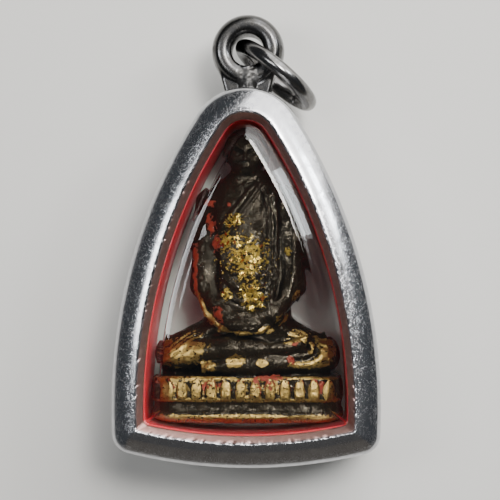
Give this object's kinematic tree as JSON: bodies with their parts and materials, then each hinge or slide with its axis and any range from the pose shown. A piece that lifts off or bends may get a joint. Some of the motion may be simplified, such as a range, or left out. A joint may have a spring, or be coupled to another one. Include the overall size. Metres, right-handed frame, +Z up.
{
  "type": "cased amulet pendant",
  "caption": "Pendant for a necklace: a small cast bronze seated figure in an arch-shaped stainless steel case with clear windows, hung from a ring.",
  "frame": {"origin": "on the surface it lies on, under the middle of its outline", "axes": "+X to the right, +Y towards the hanging eye, +Z up through the case from its back to its front"},
  "size_m": [0.0242, 0.0414, 0.013],
  "materials": {
    "steel": "polished stainless steel with fine scratches",
    "back_steel": "polished stainless steel",
    "front_acrylic": "clear acrylic, bevelled",
    "back_acrylic": "clear acrylic, flat",
    "red_plastic": "smooth red plastic",
    "bronze": "dark patinated bronze, worn to brass on its high places, with gold leaf and red lacquer",
    "ring_steel": "polished stainless steel wire"
  },
  "bodies": {
    "root": {"case_frame": "steel", "case_back": "back_steel", "front_window": "front_acrylic", "back_window": "back_acrylic", "red_lining": "red_plastic", "figure": "bronze", "jump_ring": "ring_steel"}
  },
  "joints": []
}
